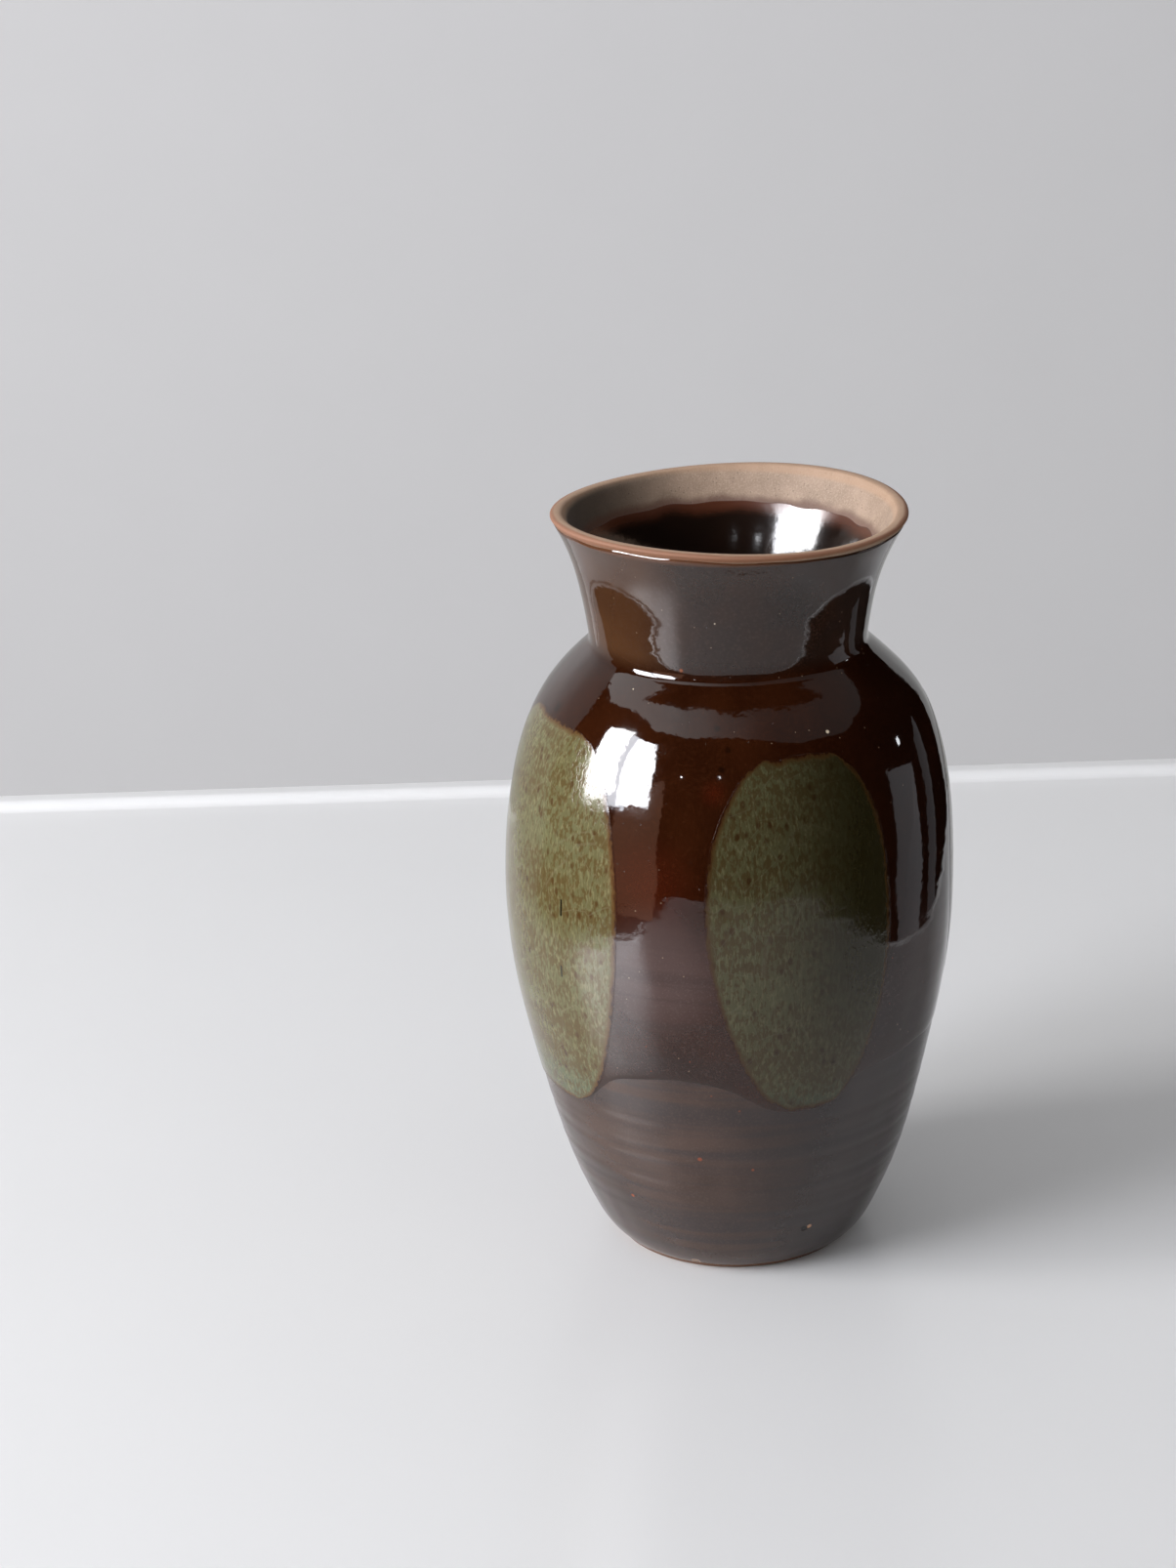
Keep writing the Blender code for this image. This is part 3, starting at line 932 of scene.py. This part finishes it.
TABLE_SIZE = (0.68, 1.03)
TABLE_MIDDLE = (-0.005, -0.078)
TABLE_TURN = 4.3
TABLE_THICKNESS = 0.03
TABLE_RIM = (0.010, 0.004)  # width and height of the raised edge
WALL_DISTANCE = 1.35
FILL_STRENGTH = 0.47
BACKDROP_STRENGTH = 0.6
CEILING_FADE = (-2.4, 1.0, 1.95, 0.22)  # from x, to x, and the glow at each
WHITE = (1.0, 1.0, 1.0)
CAMERA_PLACE = (0.0, -1.0970, 0.5623)
CAMERA_TURNS = (69.85, 2.47, -1.20)  # tilt, heading and roll in degrees
CAMERA_LENS = 80.7


def stage_mesh(name, points, faces, material):
    mesh = bpy.data.meshes.new(name)
    mesh.from_pydata(points, [], faces)
    mesh.materials.append(material)
    made = bpy.data.objects.new(name, mesh)
    bpy.context.scene.collection.objects.link(made)
    return made


def build_table():
    """A white table top with a slightly raised, rounded edge."""
    wide, deep = (side / 2 for side in TABLE_SIZE)
    rim_width, rim_height = TABLE_RIM
    levels = (
        (0.0, -TABLE_THICKNESS),
        (0.0, rim_height),
        (rim_width, rim_height),
        (rim_width + 0.003, 0.0),
    )
    points = []
    for inset, z in levels:
        x, y = wide - inset, deep - inset
        points += [(-x, -y, z), (x, -y, z), (x, y, z), (-x, y, z)]
    faces = [(3, 2, 1, 0), (12, 13, 14, 15)]
    for level in range(len(levels) - 1):
        for k in range(4):
            after = (k + 1) % 4
            low, high = 4 * level, 4 * level + 4
            faces.append((low + k, low + after, high + after, high + k))
    table = stage_mesh("table", points, faces, plain_material("white_table", (0.66,) * 3, 0.28))
    bevel = table.modifiers.new("round", "BEVEL")
    bevel.width = 0.002
    bevel.segments = 4
    table.location = (*TABLE_MIDDLE, 0.0)
    table.rotation_euler.z = math.radians(TABLE_TURN)


def build_wall():
    """A grey wall behind the table, and a plain glow that stands for it in the glaze."""
    y = WALL_DISTANCE
    points = [(-4, y, -2), (4, y + 0.6, -2), (4, y + 0.6, 3), (-4, y, 3)]
    wall = stage_mesh("wall", points, [(0, 1, 2, 3)],
                      plain_material("grey_wall", (0.565, 0.56, 0.56), 0.9))
    wall.visible_glossy = False
    corners = [(-4, y, -1), (0.9, y + 0.2, -1), (0.9, y + 0.2, 2.5), (-4, y, 2.5)]
    light_card("wall", corners, WHITE, 0.0, 0.45)


def glowing(name, colour, strength):
    """A material that gives light and reflects none of its own colour."""
    material = bpy.data.materials.new(name)
    material.use_nodes = True
    shader = material.node_tree.nodes["Principled BSDF"]
    shader.inputs["Base Color"].default_value = (0, 0, 0, 1)
    shader.inputs["Emission Color"].default_value = (*colour, 1.0)
    shader.inputs["Emission Strength"].default_value = strength
    return material


def light_card(name, corners, colour, light, shine, fade=None):
    """A flat light that isn't seen itself; light is what it gives, shine how it is reflected.

    A fade gives the strength at two places across the room, in place of one strength.
    """
    face = [tuple(range(len(corners)))]
    for part, strength in (("light", light), ("shine", shine)):
        if strength > 0:
            glow = glowing(name + "_" + part, colour, strength)
            card = stage_mesh(name + "_" + part, corners, face, glow)
            card.visible_camera = False
            card.visible_diffuse = part == "light"
            card.visible_glossy = part == "shine"
            card.visible_shadow = False
            if fade:
                fade_across(glow, fade)


def fade_across(glow, fade):
    """Strength that changes smoothly from one x to another: (from x, to x, and each strength)."""
    tree = glow.node_tree
    place = tree.nodes.new("ShaderNodeTexCoord").outputs["Object"]
    split = tree.nodes.new("ShaderNodeSeparateXYZ")
    ramp = tree.nodes.new("ShaderNodeMapRange")
    ramp.interpolation_type = "SMOOTHSTEP"
    for socket, value in zip(("From Min", "From Max", "To Min", "To Max"), fade):
        ramp.inputs[socket].default_value = value
    tree.links.new(place, split.inputs[0])
    tree.links.new(split.outputs["X"], ramp.inputs["Value"])
    surface = tree.nodes["Principled BSDF"]
    tree.links.new(ramp.outputs["Result"], surface.inputs["Emission Strength"])


def build_window():
    """Two leaning panes on the left that give nearly all of the light."""
    back = [(-2.51, -0.45, 0.28), (-2.27, -1.10, 0.58), (-1.77, -0.66, 1.90), (-2.04, -0.11, 1.69)]
    front = [(-2.27, -1.20, 0.40), (-1.80, -1.79, 0.55), (-1.58, -1.66, 1.25),
             (-1.46, -1.22, 1.88), (-1.79, -0.84, 1.80)]
    frame_behind = [(-2.58, -1.0, 0.4), (-2.35, -1.5, 0.4), (-1.85, -1.1, 2.0), (-2.1, -0.6, 2.0)]
    light_card("window_bar", frame_behind, (0.88, 0.92, 1.0), 0.0, 16.0)
    light_card("window_back_pane", back, (0.98, 0.98, 1.0), 15.8, 44.0)
    light_card("window_front_pane", front, (0.94, 0.95, 1.0), 13.9, 34.0)


def small_lamp(name, place, size, strength):
    """A small square lamp, facing the pot, that only shows in the glaze."""
    away = Vector(place).normalized()
    side = away.cross(Vector((0, 0, 1))).normalized() * size / 2
    up = side.cross(away).normalized() * size / 2
    middle = Vector(place)
    corners = [tuple(middle + a * side + b * up) for a, b in ((-1, -1), (1, -1), (1, 1), (-1, 1))]
    light_card(name, corners, (0.92, 0.95, 1.0), 0.0, strength)


def build_fill():
    """What else shows in the glaze: ceiling, a warm wall by the window, a strip on the right."""
    front = [(-2.75, 0.70, 2.6), (-2.10, -0.15, 2.6), (-1.91, -0.53, 2.6), (-1.75, -1.06, 2.6),
             (-1.02, -1.53, 2.6), (0.74, -1.61, 2.6), (1.92, -1.62, 2.6), (2.93, -0.53, 2.6),
             (3.05, 0.80, 2.6), (1.97, 0.22, 2.6), (1.52, -0.26, 2.6), (1.04, -0.63, 2.6),
             (0.10, -0.92, 2.6), (-0.92, -0.75, 2.6), (-1.43, -0.44, 2.6), (-1.80, -0.08, 2.6)]
    back = [(-1.80, -0.08, 2.6), (-0.88, -0.38, 2.6), (0.12, -0.55, 2.6), (1.02, -0.30, 2.6),
            (1.97, 0.22, 2.6), (3.05, 0.80, 2.6), (3.0, 1.6, 2.6), (-2.8, 1.6, 2.6),
            (-2.75, 0.70, 2.6)]
    light_card("ceiling_front", front, WHITE, 0.0, 1.0, CEILING_FADE)
    light_card("ceiling_back", back, WHITE, 0.0, 1.0, CEILING_FADE)
    warm = [(-2.75, -1.40, -0.65), (-1.69, -2.33, -0.65), (-1.76, -2.24, 1.25), (-2.6, -1.45, 0.5)]
    light_card("warm_wall", warm, (1.0, 0.52, 0.34), 0.0, 0.95)
    strip = [(2.40, 0.12, -1.0), (2.16, 0.92, -1.0), (2.31, 1.02, 0.15), (2.51, 0.12, 0.45)]
    light_card("right_strip", strip, (0.93, 0.94, 1.0), 0.0, 0.42)
    second = [(1.98, 1.12, -1.0), (1.70, 1.40, -1.0), (1.70, 1.40, 0.45), (1.98, 1.12, 0.25)]
    light_card("second_strip", second, (0.93, 0.94, 1.0), 0.0, 0.16)
    small_lamp("far_lamp", (2.37, 0.81, 0.59), 0.13, 12.0)
    small_lamp("left_spot", (-1.07, -2.01, 1.22), 0.06, 60.0)
    small_lamp("right_spot", (-0.24, -2.23, 1.28), 0.04, 30.0)


def build_world():
    """Pale where the camera sees past the stage, and dark in the glaze, like a dim room."""
    world = bpy.data.worlds.new("room")
    bpy.context.scene.world = world
    world.use_nodes = True
    background = world.node_tree.nodes["Background"]
    background.inputs["Color"].default_value = (0.98, 0.98, 1.0, 1.0)
    path = world.node_tree.nodes.new("ShaderNodeLightPath")
    strength = world.node_tree.nodes.new("ShaderNodeMapRange")
    strength.inputs["To Min"].default_value = FILL_STRENGTH
    strength.inputs["To Max"].default_value = BACKDROP_STRENGTH
    world.node_tree.links.new(path.outputs["Is Camera Ray"], strength.inputs["Value"])
    world.node_tree.links.new(strength.outputs["Result"], background.inputs["Strength"])
    world.cycles_visibility.glossy = False


def build_camera():
    lens = bpy.data.cameras.new("camera")
    lens.lens = CAMERA_LENS
    camera = bpy.data.objects.new("camera", lens)
    bpy.context.scene.collection.objects.link(camera)
    tilt, heading, roll = (math.radians(turn) for turn in CAMERA_TURNS)
    turned = Matrix.Rotation(heading, 4, "Z") @ Matrix.Rotation(tilt, 4, "X")
    turned = turned @ Matrix.Rotation(roll, 4, "Z")
    camera.matrix_world = Matrix.Translation(CAMERA_PLACE) @ turned
    bpy.context.scene.camera = camera


build_camera()
build_clay(clay_material())
build_first_coat(grey_material())
build_second_coat(brown_material())
for green_panel in PANELS:
    build_panel(green_panel, green_material(green_panel))
build_liner(liner_material())
build_table()
build_wall()
build_window()
build_fill()
build_world()
bpy.context.scene.view_settings.view_transform = "Standard"

bpy.context.view_layer.update()
